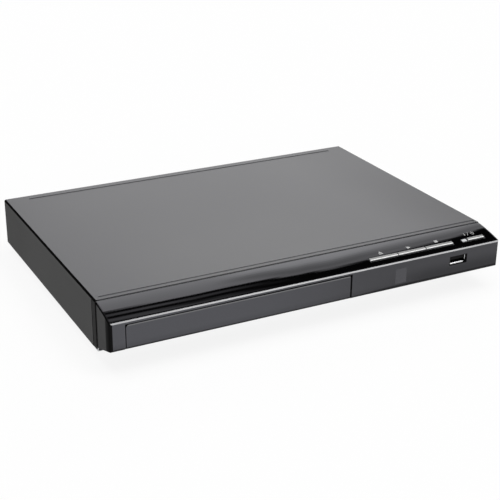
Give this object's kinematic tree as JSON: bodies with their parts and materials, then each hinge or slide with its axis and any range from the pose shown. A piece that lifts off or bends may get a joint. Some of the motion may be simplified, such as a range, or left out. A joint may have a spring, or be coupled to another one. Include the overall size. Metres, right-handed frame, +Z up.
{
  "type": "disc player with tray",
  "caption": "Slim set-top disc player with a sliding disc tray, raked glossy key strip, front serial socket and rear phono, picture and mains sockets.",
  "frame": {"origin": "middle of the footprint, on the surface the feet stand on", "axes": "+X to the right seen from the front, +Y to the rear, +Z up; the tray slides out along -Y"},
  "size_m": [0.27, 0.2072, 0.0385],
  "materials": {
    "black_paint": "black coil-coated steel, fine satin texture",
    "zinc_steel": "zinc plated sheet steel",
    "charcoal_plastic": "satin charcoal moulding",
    "gloss_black": "piano black",
    "silver_key": "silver lacquer",
    "light_guide": "frosted clear light guide",
    "smoke_window": "smoked infra-red window",
    "black_plastic": "black moulding",
    "tray_plastic": "fine grained black moulding",
    "cream_plastic": "natural acetal",
    "green_board": "solder mask on glass epoxy",
    "tan_board": "phenolic board",
    "bright_metal": "nickel plated",
    "chip_black": "moulded epoxy",
    "can_sleeve": "printed sleeve",
    "transformer": "ferrite and taped winding",
    "aluminium": "extruded aluminium",
    "ribbon": "flat ribbon cable",
    "yellow_ring": "yellow",
    "white_ring": "white",
    "red_ring": "red",
    "orange_ring": "orange",
    "rubber": "black rubber",
    "lens": "coated lens",
    "sled_metal": "die-cast"
  },
  "bodies": {
    "case": {"top_cover": "black_paint", "bottom_chassis": "zinc_steel", "rear_panel": "black_paint", "feet": "rubber", "cover_screws": "black_paint", "inner_screws": "zinc_steel", "front_bezel": "charcoal_plastic", "top_strip": "gloss_black", "standby_light": "light_guide", "receiver_window": "smoke_window", "remote_receiver": "black_plastic", "front_board": "green_board", "key_switches": "black_plastic", "front_socket_shell": "bright_metal", "front_socket_tongue": "black_plastic", "front_ribbon": "ribbon", "main_board": "green_board", "main_chips": "chip_black", "board_capacitors": "can_sleeve", "picture_socket_shell": "bright_metal", "picture_socket_tongue": "black_plastic", "jack_block": "black_plastic", "jack_barrels": "bright_metal", "video_jack": "yellow_ring", "left_audio_jack": "white_ring", "right_audio_jack": "red_ring", "digital_audio_jack": "orange_ring", "power_board": "tan_board", "transformer": "transformer", "heat_sink": "aluminium", "power_components": "can_sleeve", "mains_inlet": "black_plastic", "inlet_pins": "bright_metal", "power_cable": "ribbon", "loader_frame": "black_plastic", "clamp_bridge": "zinc_steel", "drive_belt": "rubber", "loading_motor": "bright_metal", "pivot_bushes": "rubber", "pickup_ribbon": "ribbon"},
    "tray": {"disc_tray": "tray_plastic", "tray_door": "charcoal_plastic"},
    "drive_gear": {"tray_drive_gear": "cream_plastic"},
    "belt_wheel": {"belt_gear": "cream_plastic"},
    "loading_pulley": {"motor_pulley": "cream_plastic"},
    "cam": {"cam_slider": "cream_plastic"},
    "traverse": {"traverse_frame": "black_plastic", "spindle_motor": "bright_metal", "guide_rods": "bright_metal", "feed_motor": "bright_metal"},
    "spindle": {"turntable": "tray_plastic"},
    "clamper": {"disc_clamper": "cream_plastic"},
    "sled": {"pickup_sled": "sled_metal", "pickup_lens": "lens"},
    "feed_wheel": {"feed_gear": "cream_plastic"},
    "feed_drive": {"feed_pinion": "cream_plastic"},
    "open_close_button": {"open_close_key": "silver_key"},
    "play_button": {"play_key": "silver_key"},
    "stop_button": {"stop_key": "silver_key"},
    "power_button": {"power_key": "silver_key"}
  },
  "joints": [
    {"name": "tray_slide", "type": "slide", "parent": "case", "child": "tray", "axis": [0, -1, 0], "range_m": [0, 0.13]},
    {"name": "drive_gear_spin", "type": "hinge", "parent": "case", "child": "drive_gear", "pos_m": [0.001, -0.06305, 0.0076], "axis": [0, 0, 1], "range_deg": [-935, 5]},
    {"name": "belt_gear_spin", "type": "hinge", "parent": "case", "child": "belt_wheel", "pos_m": [-0.00233, -0.04414, 0.0076], "axis": [0, 0, 1], "range_deg": [-5, 2800]},
    {"name": "motor_pulley_spin", "type": "hinge", "parent": "case", "child": "loading_pulley", "pos_m": [-0.00233, -0.01014, 0.0076], "axis": [0, 0, 1], "range_deg": [-5, 11185]},
    {"name": "traverse_tilt", "type": "hinge", "parent": "case", "child": "traverse", "pos_m": [-0.0516, 0.05595, 0.0168], "axis": [1, 0, 0], "range_deg": [0, 3.26]},
    {"name": "cam_slide", "type": "slide", "parent": "case", "child": "cam", "axis": [-1, 0, 0], "range_m": [0, 0.01405]},
    {"name": "turntable_spin", "type": "hinge", "parent": "traverse", "child": "spindle", "pos_m": [-0.0516, -0.03555, 0.024], "axis": [0, 0, 1], "continuous": true},
    {"name": "clamper_spin", "type": "hinge", "parent": "case", "child": "clamper", "pos_m": [-0.0516, -0.03555, 0.031], "axis": [0, 0, 1], "continuous": true},
    {"name": "sled_slide", "type": "slide", "parent": "traverse", "child": "sled", "axis": [0, 1, 0], "range_m": [0, 0.034]},
    {"name": "feed_gear_spin", "type": "hinge", "parent": "traverse", "child": "feed_wheel", "pos_m": [-0.0814, 0.01625, 0.0168], "axis": [0, 0, 1], "range_deg": [-2, 410]},
    {"name": "feed_pinion_spin", "type": "hinge", "parent": "traverse", "child": "feed_drive", "pos_m": [-0.08943, 0.02772, 0.0168], "axis": [0, 0, 1], "range_deg": [-1500, 5]},
    {"name": "open_close_press", "type": "slide", "parent": "case", "child": "open_close_button", "axis": [0, 0, -1], "range_m": [0, 0.00035], "stiffness_N_per_m": 800},
    {"name": "play_press", "type": "slide", "parent": "case", "child": "play_button", "axis": [0, 0, -1], "range_m": [0, 0.00035], "stiffness_N_per_m": 800},
    {"name": "stop_press", "type": "slide", "parent": "case", "child": "stop_button", "axis": [0, 0, -1], "range_m": [0, 0.00035], "stiffness_N_per_m": 800},
    {"name": "power_press", "type": "slide", "parent": "case", "child": "power_button", "axis": [0, 0, -1], "range_m": [0, 0.00035], "stiffness_N_per_m": 800}
  ],
  "couplings": [
    {"joint": "drive_gear_spin", "follows": "tray_slide", "rad_per_m": -125},
    {"joint": "belt_gear_spin", "follows": "tray_slide", "rad_per_m": 375},
    {"joint": "motor_pulley_spin", "follows": "tray_slide", "rad_per_m": 1500},
    {"joint": "cam_slide", "follows": "traverse_tilt", "m_per_rad": 0.24621},
    {"joint": "clamper_spin", "follows": "turntable_spin", "ratio": 1},
    {"joint": "feed_gear_spin", "follows": "sled_slide", "rad_per_m": 208.33},
    {"joint": "feed_pinion_spin", "follows": "sled_slide", "rad_per_m": -763.89}
  ]
}
